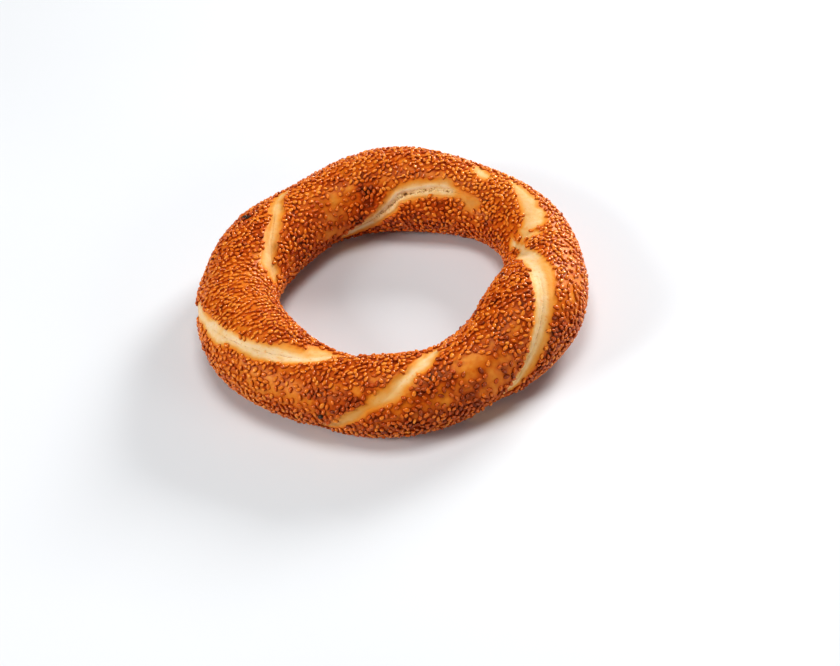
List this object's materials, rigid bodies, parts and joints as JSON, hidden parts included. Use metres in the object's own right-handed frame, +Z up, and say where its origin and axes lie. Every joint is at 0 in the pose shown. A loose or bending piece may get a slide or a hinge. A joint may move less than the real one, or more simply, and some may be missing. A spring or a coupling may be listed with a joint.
{
  "type": "simit",
  "caption": "Ring-shaped bread of two dough ropes twisted together, crusted with toasted sesame seeds, with pale open seams and a flat baked underside.",
  "frame": {"origin": "middle of the flat underside, on the surface the bread lies on", "axes": "+Z up through the hole; +X and +Y across the ring"},
  "size_m": [0.1758, 0.1762, 0.0377],
  "materials": {
    "crust": "glossy golden-orange baked crust, paler cream where the dough opened along the seams",
    "sesame": "toasted sesame seeds glazed with molasses, satin gloss"
  },
  "bodies": {
    "root": {"bread_ring": "crust"}
  },
  "joints": []
}
